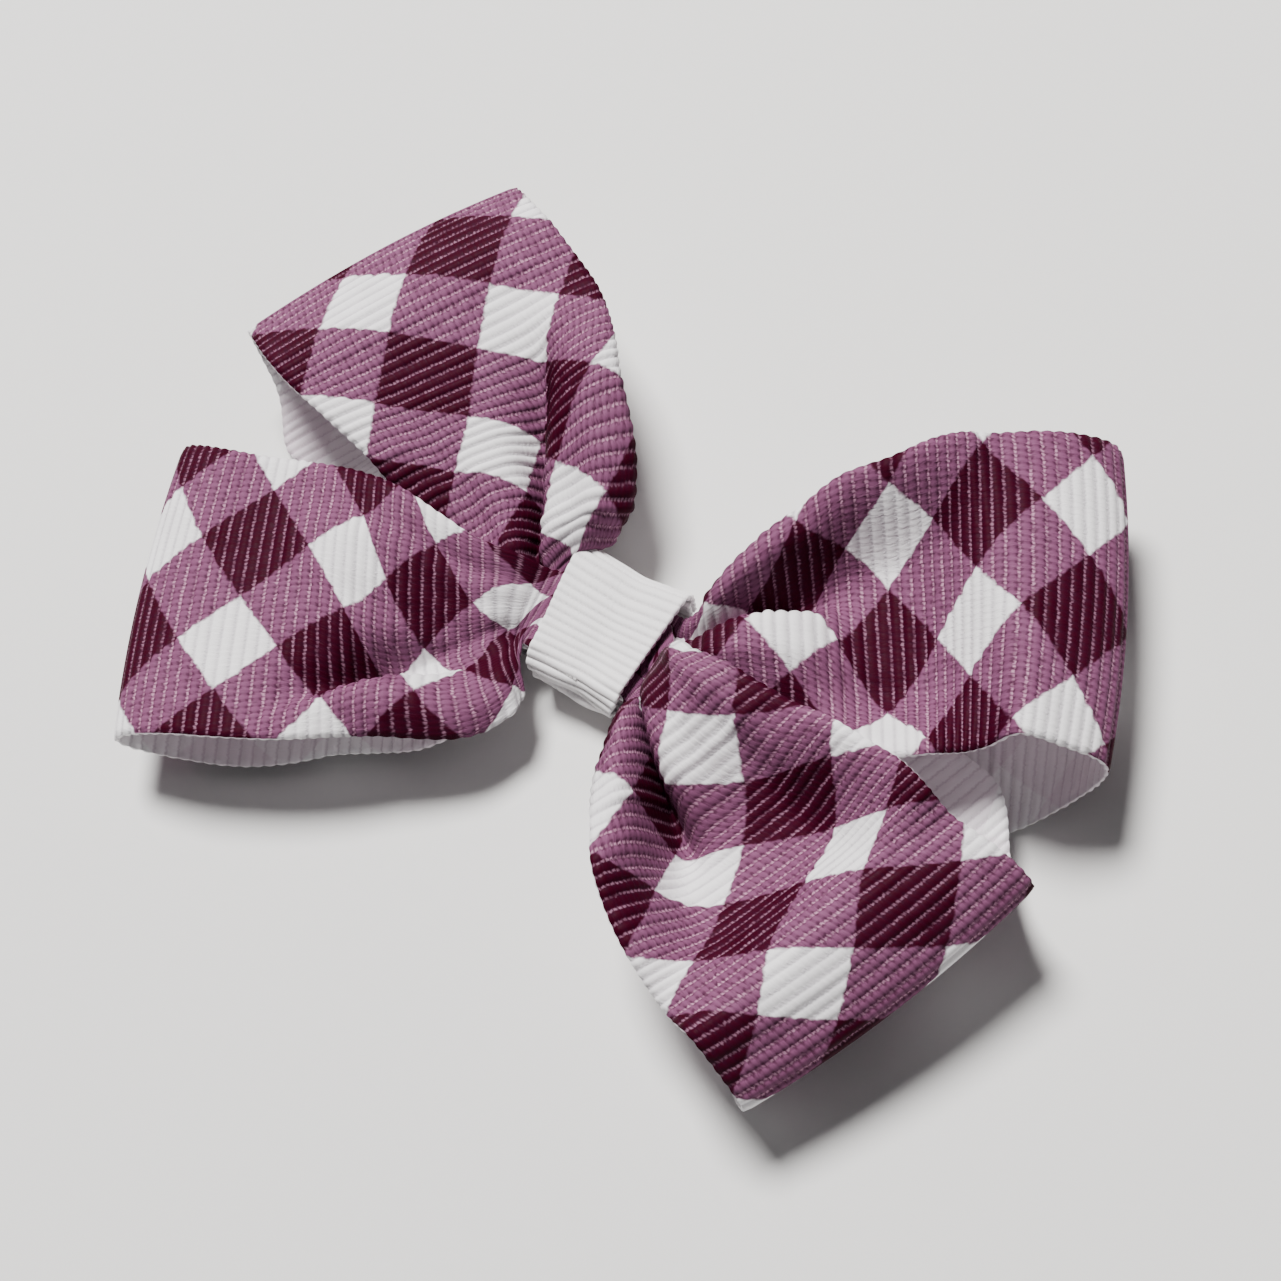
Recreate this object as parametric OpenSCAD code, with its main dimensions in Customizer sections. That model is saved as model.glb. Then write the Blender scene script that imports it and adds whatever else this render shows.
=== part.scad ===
// Hair bow: two V-shaped ribbon bows laid one over the other, gathered at
// the middle, bound with a narrow band and fixed to a lined alligator clip.
// Millimetres. Z is up from the table, X runs along the bow, Y across it.
// The origin is on the underside of the clip's lower arm, below the knot.

/* [Ribbon] */
// Flat width of the printed ribbon
ribbon_w = 25; // [20:0.5:30]
// Thickness of the printed ribbon
ribbon_t = 0.36; // [0.3:0.02:0.5]
// Half width of the ribbon where the thread gathers it
gather_half = 3.7; // [3.5:0.1:4.2]
// Distance from the middle at which a loop has opened to full width
open_at = 31; // [26:1:36]
// Height of the pinch folds in the top layers
fold_h = 2.2; // [0:0.1:3]
// Gap between the two ends of a ribbon, under the band
end_gap = 0.4; // [0.2:0.1:1]

/* [Loops] */
// Lengths of the four loops along their middle lines
upper_left_l = 38.5; // [34:0.1:42]
upper_right_l = 39.2; // [34:0.1:42]
lower_left_l = 36.6; // [34:0.1:42]
lower_right_l = 37.6; // [34:0.1:42]
// Angles that the four loops make with the X axis
upper_left_angle = 35; // [20:0.5:40]
upper_right_angle = 33.5; // [20:0.5:40]
lower_left_angle = 29; // [20:0.5:40]
lower_right_angle = 27.5; // [20:0.5:40]
// How far each ribbon's middle lies to its own side of the X axis
row_shift = 0.5; // [0:0.1:1]

/* [Knot] */
// Width of the band round the middle
wrap_w = 10; // [8:0.5:12]
// Thickness of the band
wrap_t = 0.4; // [0.3:0.05:0.5]
// Size of the band across the bow
wrap_y = 10.4; // [10.2:0.1:12]
// Underside and top of the band
wrap_z0 = 0.85; // [0.8:0.05:0.95]
wrap_z1 = 5.75; // [5.7:0.05:7]
// Diameter of the gathering thread
thread_d = 0.28; // [0.2:0.02:0.4]
// Turns of the gathering thread
thread_turns = 5; // [3:1:6]

/* [Clip] */
// Width of both arms
arm_w = 6.5; // [6:0.1:8]
// Thickness of the arms' sheet steel
arm_t = 0.5; // [0.4:0.05:0.6]
// Front end of the jaws and rear end of the tails
jaw_x = -22; // [-26:0.5:-18]
tail_x = 12.5; // [11:0.5:16]
// Underside of the upper arm
upper_z = 1.65; // [1.6:0.05:2]
// Where the upper arm's tail starts to rise, and its slope
bend_x = 5.5; // [5:0.1:7]
tail_slope = 16; // [12:1:20]
// Hinge pin: place, diameter and running clearance
pin_x = 8.5; // [8:0.1:10]
pin_z = 1.5; // [1.4:0.05:1.7]
pin_d = 0.9; // [0.8:0.05:1]
pin_fit = 0.04; // [0.02:0.01:0.08]
// Teeth along each side of the lower jaw
teeth = 6; // [3:1:8]
// Thickness of the lining ribbon
lining_t = 0.3; // [0.2:0.05:0.4]

/* [Hidden] */
$fn = 48;
half_w = ribbon_w / 2 - 0.1;
steps = 3;
across = 13;
layer = ribbon_t + 0.08;
lining_gap = 0.05;
lining_top = upper_z + arm_t + lining_gap + lining_t;
pad_z0 = lining_top + 0.02;
pad_z1 = pad_z0 + 0.3;
thread_z0 = pad_z1 + 0.02;
stack_z = thread_z0 + thread_d + 0.04 + ribbon_t / 2;
lr_top_z = stack_z + 3 * layer;
thread_z1 = lr_top_z + ribbon_t / 2 + 0.04 + thread_d;
tail_rise = tan(tail_slope);
ear_t = 0.5;
upper_ear_y = arm_w / 2 - ear_t;
lower_ear_y = upper_ear_y - 0.1 - ear_t;
coil_wire = 0.36;
coil_r = pin_d / 2 + 0.07 + coil_wire / 2;
coil_y = lower_ear_y - 0.15 - coil_wire / 2;
coil_turns = 7;
lead = 4.5;
ride_gap = 0.28;

// Each loop: side (-1 left), row (+1 upper), length, angle, crest height,
// tip height, belly height, lean of the top layer, lean of the bottom layer,
// lean at the tip, outward bulge, turn of the tip line, how much of its rise
// the top layer has made a third of the way out, and places of the valley and
// the ridge of its pinch fold.
loop_a = [-1, 1, upper_left_l, upper_left_angle, 10.6, 7, 0.8, -1.8, -0.3, 0.3,
    4.2, 7, 0.52, 0.35, 0.75];
loop_c = [1, 1, upper_right_l, upper_right_angle, 12.4, 7, 0.7, -1.8, -0.3, 0.5,
    0.2, 8, 0.56, 0.2, 0.62];
loop_b = [-1, -1, lower_left_l, lower_left_angle, 8.6, 5.5, 2.6, 1.3, 0.5, 0.3,
    1.4, 4.5, 0.9, 0.25, -0.7];
loop_d = [1, -1, lower_right_l, lower_right_angle, 11.2, 7, 1.1, 1.6, 0.9, 1.2,
    3.2, 4.5, 0.8, 0.4, -0.65];

function smooth(a, b, x) =
    let(t = min(1, max(0, (x - a) / (b - a))))
    t * t * (3 - 2 * t);

// Side view of a loop from its lower end, round the tip and back, as
// [distance from the middle, height].
function side_view(p, zb, zt) =
    let(l = p[2], crest = p[4], tip = p[5], belly = p[6],
        sag = p[1] > 0 ? 0.4 : 0.2)
    [[0, zb], [5, zb], [0.31 * l, zb + sag * (belly - zb)], [0.52 * l, belly],
     [0.77 * l, belly], [0.925 * l, belly + 0.25 * (tip - belly)], [l, tip],
     [0.96 * l, tip + 0.6 * (crest - tip)], [0.79 * l, crest],
     [0.55 * l, crest - 0.4], [0.31 * l, zt + p[12] * (crest - zt)],
     [5.2, zt + 0.15], [0, zt]];

// Catmull-Rom curve through a list of points.
function spline(p, n) =
    let(last = len(p) - 1,
        q = concat([2 * p[0] - p[1]], p, [2 * p[last] - p[last - 1]]))
    concat([for (i = [0 : last - 1], k = [0 : n - 1])
        let(t = k / n, a = q[i], b = q[i + 1], c = q[i + 2], d = q[i + 3])
        0.5 * (2 * b + (c - a) * t + (2 * a - 5 * b + 4 * c - d) * t * t
            + (3 * b - a - 3 * c + d) * t * t * t)],
        [p[last]]);

// Plan view of a loop's middle line: straight under the band, an arc of
// radius 8, then straight again. Returns [x, y, heading].
function plan(l, angle) =
    let(r = 8, s = max(0, l - lead), arc = r * angle * PI / 180,
        a = s < arc ? s / r * 180 / PI : angle,
        rest = max(0, s - arc))
    [min(l, lead) + r * sin(a) + rest * cos(angle),
     r * (1 - cos(a)) + rest * sin(angle), a];

function half_width(l) = gather_half + (half_w - gather_half)
    * smooth(0, 1, pow(min(1, max(0, l - lead) / (open_at - lead)), 0.8));

// Pinch folds across a loop: a ridge and a valley, 1 to -1. The lower loops
// carry the ridge on the side that lies over the upper loops.
function hump(v, at, wide) = exp(-pow((v - at) / wide, 2));

function folds(p, v) = hump(v, p[14], 0.34) - 0.9 * hump(v, p[13], 0.22)
    + (p[1] < 0 ? 0.5 * hump(v, 0.85, 0.3) : 0);

// Height of the clip under the ribbons, with x signed, fading off its ends.
function clip_top(x) =
    let(edge = ribbon_t / 2 + ride_gap,
        jaw = lining_top + edge,
        tail = upper_z + arm_t + edge + max(0, x - bend_x) * tail_rise)
    x < bend_x ? jaw * smooth(jaw_x - 7, jaw_x - 1.2, x)
        : tail * (1 - smooth(tail_x + 0.6, tail_x + 9, x));

function soft_max(a, b) = (a + b + sqrt(pow(a - b, 2) + 0.02)) / 2;

// One point of a loop's middle face. v runs from -1 at the edge near the
// X axis to +1 at the outer edge; top is 0 on the lower layer, 1 on the upper.
function loop_point(p, l, z0, z1, top, v) =
    let(side = p[0], row = p[1], tip_l = p[2],
        lv = l - 0.8 * v * v * smooth(20, 38, l),
        c = plan(lv, p[3]),
        head = c[2] - p[11] * smooth(18, tip_l, l),
        t = half_width(l) * v
            + p[10] * smooth(lead, 15, l) * (1 - smooth(17, tip_l, l)),
        x = c[0] - sin(head) * t,
        y = c[1] + cos(head) * t + row_shift,
        z = z0 + (z1 - z0) * smooth(5.1, row > 0 ? 10.5 : 8, x),
        f = fold_h * smooth(4.5, 12, l) * (1 - smooth(12, 29, l)),
        lean = (top * p[7] * smooth(row > 0 ? 7 : 5.1, row > 0 ? 13 : 7.5, x)
            + (1 - top) * p[8] * smooth(9, 18, l)) * (1 - smooth(16, 28, l))
            + p[9] * smooth(18, 38, l),
        free = z + f * (0.1 + 0.9 * top) * folds(p, v) / 2 - lean * v,
        rest = (clip_top(x * side) + (row > 0 ? 0 : layer + 0.3))
            * (1 - smooth(3.5, 8.5, abs(y))))
    [x * side, y * row,
     top > 0.5 || l < lead ? free : soft_max(free, rest)];

function loop_grid(p, zb, zt) =
    let(c = spline(side_view(p, zb, zt), steps), n = len(c) - 1, m = n / 2)
    [for (k = [0 : n]) [for (j = [0 : across - 1])
        loop_point(p, max(c[k][0], k == 0 ? end_gap / 2 : 0),
            k < m ? zb : zt, c[k][1],
            smooth(-1, 1, (k - m) / n * 6), 2 * j / (across - 1) - 1)]];

function unit(a) = a / norm(a);

// Closed sheet of thickness t about a grid of points.
module sheet(g, t) {
    n = len(g);
    m = len(g[0]);
    nrm = [for (i = [0 : n - 1]) [for (j = [0 : m - 1])
        unit(cross(g[min(i + 1, n - 1)][j] - g[max(i - 1, 0)][j],
            g[i][min(j + 1, m - 1)] - g[i][max(j - 1, 0)]))]];
    pts = concat(
        [for (i = [0 : n - 1], j = [0 : m - 1]) g[i][j] + nrm[i][j] * t / 2],
        [for (i = [0 : n - 1], j = [0 : m - 1]) g[i][j] - nrm[i][j] * t / 2]);
    o = n * m;
    faces = concat(
        [for (i = [0 : n - 2], j = [0 : m - 2])
            [i * m + j, i * m + j + 1, (i + 1) * m + j + 1]],
        [for (i = [0 : n - 2], j = [0 : m - 2])
            [i * m + j, (i + 1) * m + j + 1, (i + 1) * m + j]],
        [for (i = [0 : n - 2], j = [0 : m - 2])
            [o + i * m + j, o + (i + 1) * m + j + 1, o + i * m + j + 1]],
        [for (i = [0 : n - 2], j = [0 : m - 2])
            [o + i * m + j, o + (i + 1) * m + j, o + (i + 1) * m + j + 1]],
        [for (i = [0 : n - 2], j = [0, m - 1])
            let(a = i * m + j, b = a + m)
            j == 0 ? [a, b, o + b] : [b, a, o + a]],
        [for (i = [0 : n - 2], j = [0, m - 1])
            let(a = i * m + j, b = a + m)
            j == 0 ? [a, o + b, o + a] : [b, o + a, o + b]],
        [for (i = [0, n - 1], j = [0 : m - 2])
            let(a = i * m + j, b = a + 1)
            i == 0 ? [b, a, o + a] : [a, b, o + b]],
        [for (i = [0, n - 1], j = [0 : m - 2])
            let(a = i * m + j, b = a + 1)
            i == 0 ? [b, o + a, o + b] : [a, o + b, o + a]]);
    polyhedron(pts, faces, convexity = 10);
}

// A ribbon runs from the middle round the left loop, over the knot and
// round the right loop back to the middle.
module bow(left, right, zb, zt) {
    a = loop_grid(left, zb, zt);
    c = loop_grid(right, zb, zt);
    n = len(c) - 1;
    sheet(concat(a, [for (k = [1 : n]) c[n - k]]), ribbon_t);
}

module rounded(y, z0, z1, r) {
    translate([-y / 2 + r, z0 + r])
        offset(r = r)
            square([y - 2 * r, z1 - z0 - 2 * r]);
}

// Solid along X from a Y-Z outline.
module along_x(x0, x1) {
    translate([x0, 0, 0])
        rotate([90, 0, 90])
            linear_extrude(x1 - x0)
                children();
}

// Solid along Y from an X-Z outline, between y0 and y1.
module along_y(y0, y1) {
    translate([0, y1, 0])
        rotate([90, 0, 0])
            linear_extrude(y1 - y0)
                children();
}

module upper_ribbon() {
    color([0.62, 0.44, 0.56])
        bow(loop_a, loop_c, stack_z, stack_z + 2 * layer);
}

module lower_ribbon() {
    color([0.55, 0.36, 0.49])
        bow(loop_b, loop_d, stack_z + layer, lr_top_z);
}

module gathering_thread() {
    pitch = thread_d + 0.06;
    color([0.93, 0.93, 0.93])
        for (i = [0 : thread_turns - 1])
            along_x((i - (thread_turns - 1) / 2) * pitch - thread_d / 2,
                (i - (thread_turns - 1) / 2) * pitch + thread_d / 2)
                difference() {
                    rounded(2 * (gather_half + row_shift) + 0.3 + 2 * thread_d,
                        thread_z0, thread_z1, 0.45);
                    rounded(2 * (gather_half + row_shift) + 0.3,
                        thread_z0 + thread_d, thread_z1 - thread_d, 0.18);
                }
}

// The band's free end laps over its start on the far side, held by glue.
module center_wrap() {
    inner_y = wrap_y - 2 * wrap_t;
    color([0.97, 0.97, 0.96])
        along_x(-wrap_w / 2, wrap_w / 2) {
            difference() {
                rounded(wrap_y, wrap_z0, wrap_z1, 0.8);
                rounded(inner_y, wrap_z0 + wrap_t, wrap_z1 - wrap_t, 0.4);
            }
            difference() {
                rounded(wrap_y + 1.1, wrap_z0, wrap_z1, 1.1);
                rounded(wrap_y + 0.3, wrap_z0 - 0.1, wrap_z1 + 0.1, 1.2);
                translate([-wrap_y, wrap_z0 - 1])
                    square([wrap_y, wrap_z1 + 1]);
                translate([0, wrap_z0 - 1])
                    square([wrap_y, 2.2]);
            }
            translate([wrap_y / 2 - 1.2, wrap_z1 - wrap_t])
                square([1.1, wrap_t]);
        }
}

module wrap_glue() {
    color([0.95, 0.93, 0.85])
        translate([-3.5, wrap_y / 2 + 0.02, 2.4])
            cube([7, 0.11, 1.6]);
}

module clip_glue_pad() {
    color([0.95, 0.93, 0.85])
        translate([-4.5, -2.8, pad_z0])
            cube([9, 5.6, pad_z1 - pad_z0]);
}

// Lining ribbon glued over the upper arm and round the tip of the jaw.
module clip_lining() {
    g = lining_gap;
    t = lining_t;
    front = jaw_x - g - t;
    color([0.97, 0.97, 0.96])
        along_y(-3, 3)
            difference() {
                translate([front, upper_z - g - t])
                    square([bend_x - 0.3 - front, arm_t + 2 * g + 2 * t]);
                translate([front + t, upper_z - g])
                    square([bend_x - front, arm_t + 2 * g]);
            }
}

module arm_outline(x0, x1, r) {
    translate([x0 + r, -arm_w / 2 + r])
        offset(r = r)
            square([x1 - x0 - 2 * r, arm_w - 2 * r]);
}

// Ear round the hinge pin, drawn in X-Z and joined to its arm at height z.
module ear(r, z) {
    translate([pin_x, pin_z])
        circle(r);
    translate([pin_x - r, min(z, pin_z)])
        square([2 * r, abs(z - pin_z)]);
}

module pin_bore(d) {
    along_y(-arm_w, arm_w)
        translate([pin_x, pin_z])
            circle(d / 2);
}

module clip_upper_arm() {
    ear_top = upper_z + (pin_x - 0.85 - bend_x) * tail_rise + 0.15;
    rise = (tail_x - bend_x) * tail_rise;
    color([0.78, 0.79, 0.8])
        difference() {
            union() {
                intersection() {
                    along_y(-arm_w / 2, arm_w / 2)
                        polygon([[jaw_x, upper_z], [bend_x, upper_z],
                            [tail_x, upper_z + rise],
                            [tail_x, upper_z + rise + arm_t / cos(tail_slope)],
                            [bend_x - 0.07, upper_z + arm_t],
                            [jaw_x, upper_z + arm_t]]);
                    linear_extrude(10)
                        arm_outline(jaw_x, tail_x, 1.4);
                }
                for (y = [-arm_w / 2, upper_ear_y])
                    along_y(y, y + ear_t)
                        ear(0.85, ear_top);
            }
            pin_bore(pin_d);
        }
}

module clip_lower_arm() {
    tooth_x = 1.6;
    color([0.78, 0.79, 0.8])
        difference() {
            union() {
                linear_extrude(arm_t)
                    arm_outline(jaw_x, tail_x, 1.4);
                for (y = [-lower_ear_y - ear_t, lower_ear_y])
                    along_y(y, y + ear_t)
                        ear(0.85, arm_t - 0.1);
                for (y = [-2.6, 2.1], i = [0 : teeth - 1])
                    along_y(y, y + 0.5)
                        translate([jaw_x + 1.8 + i * tooth_x, arm_t - 0.05])
                            polygon([[0, 0], [tooth_x, 0],
                                [tooth_x * 0.55, 0.78], [tooth_x * 0.45, 0.78]]);
            }
            pin_bore(pin_d + 2 * pin_fit);
        }
}

module pivot_pin() {
    head_t = 0.2;
    y = arm_w / 2;
    color([0.6, 0.61, 0.63])
        translate([pin_x, 0, pin_z])
            rotate([90, 0, 0]) {
                cylinder(d = pin_d, h = 2 * y + 0.04, center = true);
                for (s = [-1, 1])
                    translate([0, 0, s * (y + 0.02 + head_t / 2)])
                        cylinder(d = pin_d + 0.5, h = head_t, center = true);
            }
}

// Torsion spring: a coil round the pin and a leg along each tail.
module clip_spring() {
    leg = 3.4;
    pitch = 2 * coil_y / coil_turns;
    low_a = -90;
    high_a = 90 + tail_slope;
    sweep = coil_turns * 360 + (high_a - low_a) - 360;
    n = coil_turns * 16;
    coil = [for (i = [0 : n])
        let(a = low_a + sweep * i / n)
        [pin_x + coil_r * cos(a), -coil_y + 2 * coil_y * i / n,
         pin_z + coil_r * sin(a)]];
    end = coil[n];
    path = concat([coil[0] + [leg, 0, 0]], coil,
        [end + leg * [cos(tail_slope), 0, sin(tail_slope)]]);
    color([0.7, 0.71, 0.73])
        wire(path, coil_wire / 2, 8);
}

// Round wire along a list of points. The section starts across the wire's
// first direction and keeps one side along Y.
module wire(p, r, sides) {
    n = len(p);
    dir = [for (i = [0 : n - 1])
        unit(p[min(i + 1, n - 1)] - p[max(i - 1, 0)])];
    u = [for (d = dir) unit([0, 1, 0] - d * d[1])];
    pts = [for (i = [0 : n - 1], k = [0 : sides - 1])
        p[i] + r * cos(360 * k / sides) * u[i]
            + r * sin(360 * k / sides) * cross(dir[i], u[i])];
    faces = concat(
        [[for (k = [0 : sides - 1]) k]],
        [[for (k = [0 : sides - 1]) n * sides - 1 - k]],
        [for (i = [0 : n - 2], k = [0 : sides - 1])
            let(j = (k + 1) % sides)
            [i * sides + j, i * sides + k, (i + 1) * sides + k,
             (i + 1) * sides + j]]);
    polyhedron(pts, faces, convexity = 6);
}

upper_ribbon();
lower_ribbon();
gathering_thread();
center_wrap();
wrap_glue();
clip_glue_pad();
clip_lining();
clip_upper_arm();
clip_lower_arm();
pivot_pin();
clip_spring();
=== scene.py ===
"""Hair bow of printed grosgrain ribbon on a lined alligator clip.

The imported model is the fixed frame. The two printed ribbons, the band and the
lining are rebuilt as detailed cloth on the same shapes. The thread, the glue
and the clip's metal parts keep their solids and get their finish here.
Lengths below are millimetres until a mesh is made.
"""
import math

import bpy
import numpy as np
from mathutils import Matrix, Vector


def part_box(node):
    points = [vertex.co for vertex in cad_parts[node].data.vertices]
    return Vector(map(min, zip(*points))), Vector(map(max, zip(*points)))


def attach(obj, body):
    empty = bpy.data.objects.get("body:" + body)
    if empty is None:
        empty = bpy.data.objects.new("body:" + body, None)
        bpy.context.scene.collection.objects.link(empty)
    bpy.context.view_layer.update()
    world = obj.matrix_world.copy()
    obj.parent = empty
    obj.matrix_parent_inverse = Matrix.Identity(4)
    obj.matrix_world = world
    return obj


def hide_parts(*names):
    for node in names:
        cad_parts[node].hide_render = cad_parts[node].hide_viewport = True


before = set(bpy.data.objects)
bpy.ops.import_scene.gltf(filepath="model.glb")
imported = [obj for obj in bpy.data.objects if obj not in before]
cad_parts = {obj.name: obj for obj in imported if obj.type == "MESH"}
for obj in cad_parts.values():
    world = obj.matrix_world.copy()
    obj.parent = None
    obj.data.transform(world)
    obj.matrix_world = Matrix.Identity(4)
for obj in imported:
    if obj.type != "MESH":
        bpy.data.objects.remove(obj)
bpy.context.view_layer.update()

MM = 0.001

# ---------------------------------------------------------------- sizes
RIBBON_W = 25.0            # flat width of the printed ribbon
RIBBON_T = 0.36
GATHER_HALF = 3.4          # half width where the thread pinches it
OPEN_AT = 31.0             # distance at which a loop is fully open
LEAD = 4.5                 # straight run under the band
ARC_R = 8.0                # bend in plan just outside the band
ROW_SHIFT = 0.5            # each row's middle line lies this far off the X axis
HALF_W = RIBBON_W / 2 - 0.1
LAYER = RIBBON_T + 0.08    # rise from one layer to the next in the knot
KNOT_Z = 3.34              # middle of the lowest layer in the knot
RIB = 0.95                 # pitch of the printed ribbon's ribs
RIB_POINTS = 6             # mesh stations along one rib
ACROSS = 43                # mesh points across the ribbon
END_GAP = 0.2              # between the strip's two ends, under the band
RIB_BASE = 0.05            # half thickness down in a groove
RIB_RISE = 0.19            # height of a rib above it
RIB_UNEVEN = 0.18          # spread of that height from rib to rib
RIB_PRESSED = 0.64         # share of the thickness left under the band
CHECK = 6.35               # half of the print's repeat, square to its stripes
LATTICE = 2 * CHECK * math.sqrt(2)    # the repeat along and across the ribbon
STRIPE_EDGE = (0.215, 0.235)          # 0 is mid white, 0.5 is mid colour

WRAP_W = 10.0
WRAP_RIB = 0.7
WRAP_T = 0.4
WRAP_CORNER = 1.5          # its bend round the knot's corners
WRAP_LAP_SHORT = 1.3       # how far short of the bottom the lapping end stops
WRAP_LAP_OUT = 0.55        # how far the lapping end lies outside the start
LINING_RIB = 0.62
LINING_T = 0.22
LINING_BEND = 0.32

# Clip sizes that the ribbons ride over
JAW_X, TAIL_X, BEND_X = -22.0, 12.5, 5.5
ARM_TOP = 2.15
LINING_TOP = 2.5
TAIL_RISE = math.tan(math.radians(16))
RIDE_GAP = 0.28
FLOOR_GAP = 0.34           # lowest the middle of a ribbon comes to the table

# Distances from the knot where a loop's edges and heights are given below.
EDGE_AT = (4.5, 6, 8, 10, 12.5, 16, 20, 25, 31)
RISE_AT = (31, 25, 20, 16, 12, 8)

# Each loop:
#   side, row   -1 left or +1 right, +1 far or -1 near
#   l, angle    length from the knot to the tip, angle in plan
#   crest, tip, belly   heights of the top, the tip and the bottom layer
#   lean_top, lean_bot, lean_tip   how far each part tilts across its width
#   bulge       how far the bottom layer swings outwards on its way
#   turn        turn of the tip line in plan, degrees
#   rise, slant heights of the top layer at RISE_AT along its middle, and how
#               far those places move along the loop from middle to edge
#   rim, inner_rim   heights at RISE_AT along the outer and the inner edge
#   outer, inner     how far those edges lie from the middle line, at EDGE_AT
#                    and at the tip
#   folds       pinch folds of the top layer, each: height, place across, drift
#               of that place outwards in 10 mm, widths inwards and outwards,
#               and the distances where it starts, is full, fades and ends
#   under       sideways shift of the bottom layer towards the inner edge, and
#               the distances where it starts, is full, fades and ends
#   tuck        sideways push of the cloth beside the first fold, and where it
#               acts, measured across from that fold
#   hook        how far the outer edge pulls back towards the knot
#   print_at    where a white check's middle lies: across, and from the tip
#   draw        how much closer the print is drawn along the top layer: within
#               20 mm of the tip, and beyond
#   skew        slant of the print across the ribbon
LOOPS = {
    "upper_left": dict(
        side=-1, row=1, l=38.5, angle=35.0, crest=10.6, tip=7.0, belly=0.8,
        lean_top=-1.8, lean_bot=-0.3, lean_tip=0.3, bulge=4.2, turn=7.0,
        rise=(10.8, 9.6, 8.2, 7.2, 6.2, 5.4), slant=0.0,
        rim=(10.6, 10.4, 9.9, 8.9, 7.3, 5.6),
        inner_rim=(10.6, 10.4, 9.9, 8.0, 5.8, 4.4),
        outer=(3.4, 5.8, 7.4, 8.9, 10.7, 12.5, 13.8, 14.4, 13.6, 12.4),
        inner=(3.4, 3.6, 3.8, 4.2, 4.8, 5.9, 7.2, 9.2, 11.2, 12.4),
        folds=((-3.8, 0.14, 0.25, 0.24, 0.10, 4.6, 8, 15, 26),
               (2.4, 0.62, 0.05, 0.28, 0.28, 4.4, 7.5, 16, 29),
               (0.9, -0.45, 0.0, 0.35, 0.35, 6, 10, 16, 28)),
        under=(2.4, 12, 24, 30, 37), skew=0.08, tuck=(-1.3, 0.13),
        hook=2.0, print_at=(8.9, 6.4), draw=(1.0, 1.0)),
    "upper_right": dict(
        side=1, row=1, l=39.2, angle=33.5, crest=12.4, tip=7.0, belly=0.7,
        lean_top=-1.6, lean_bot=-0.3, lean_tip=-0.3, bulge=0.2, turn=8.0,
        rise=(12.2, 7.0, 5.4, 7.2, 7.8, 6.0), slant=-2.5,
        rim=(12.2, 11.6, 11.2, 10.4, 8.4, 6.0),
        inner_rim=(12.2, 11.2, 9.0, 7.4, 6.6, 5.6),
        outer=(3.4, 3.4, 3.8, 4.7, 6.4, 8.7, 10.4, 11.4, 13.0, 13.0),
        inner=(3.4, 3.9, 4.4, 5.4, 6.8, 8.6, 10.0, 10.7, 10.5, 11.9),
        folds=((-4.2, 0.3, 0.05, 0.10, 0.26, 4.6, 7, 13, 21),
               (2.0, -0.1, 0.0, 0.34, 0.3, 4.4, 7, 15, 25),
               (0.5, 0.8, 0.0, 0.25, 0.25, 5, 9, 14, 24)),
        under=(1.3, 12, 22, 31, 38.5), skew=0.08, tuck=(0.7, -0.13),
        hook=0.0, print_at=(19.2, 4.2), draw=(1.09, 1.25)),
    "lower_left": dict(
        side=-1, row=-1, l=36.6, angle=29.0, crest=8.6, tip=5.5, belly=2.6,
        lean_top=1.3, lean_bot=0.5, lean_tip=0.3, bulge=1.9, turn=4.5,
        rise=(8.6, 8.6, 8.8, 7.6, 5.6, 5.0), slant=0.0,
        rim=(8.6, 8.6, 8.5, 8.1, 6.8, 5.4),
        inner_rim=(8.6, 8.6, 8.6, 8.4, 7.6, 6.4),
        outer=(3.4, 6.6, 8.0, 9.6, 11.3, 12.4, 13.0, 13.3, 13.0, 12.4),
        inner=(3.4, 2.8, 2.7, 3.3, 4.8, 7.0, 8.6, 9.8, 10.8, 12.4),
        folds=((-3.0, 0.34, 0.28, 0.2, 0.09, 5, 8, 16, 27),
               (1.2, -0.35, 0.0, 0.4, 0.4, 5, 9, 16, 27),
               (1.5, 0.68, 0.1, 0.2, 0.25, 5, 8, 15, 26)),
        under=(-4.0, 5, 9, 10, 22), skew=0.12, tuck=(-0.9, 0.12),
        hook=2.6, print_at=(16.9, 9.7), draw=(1.04, 1.4)),
    "lower_right": dict(
        side=1, row=-1, l=37.6, angle=27.5, crest=11.2, tip=7.0, belly=1.1,
        lean_top=1.6, lean_bot=3.0, lean_tip=1.2, bulge=0.0, turn=4.5,
        rise=(11.6, 6.4, 5.2, 7.4, 8.8, 7.2), slant=2.4,
        rim=(11.4, 11.2, 10.8, 10.4, 9.9, 7.5),
        inner_rim=(11.4, 11.3, 11.2, 10.8, 9.9, 7.5),
        outer=(3.4, 4.2, 5.4, 7.1, 9.2, 11.2, 13.0, 13.8, 13.4, 12.4),
        inner=(3.4, 1.8, 1.6, 2.2, 3.4, 5.0, 6.8, 8.6, 9.9, 12.2),
        folds=((-4.8, 0.1, 0.2, 0.10, 0.22, 4.6, 7.5, 16, 23),
               (2.2, -0.55, 0.0, 0.5, 0.5, 4.4, 7, 17, 27),
               (1.4, 0.72, 0.0, 0.25, 0.25, 5, 9, 16, 26)),
        under=(3.3, 12, 21, 27, 37), skew=0.0, tuck=(1.2, -0.13),
        hook=0.0, print_at=(16.3, 5.6), draw=(1.22, 1.17)),
}


# ---------------------------------------------------------------- shape
def smooth(a, b, x):
    t = np.clip((np.asarray(x, float) - a) / (b - a), 0, 1)
    return t * t * (3 - 2 * t)


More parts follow.
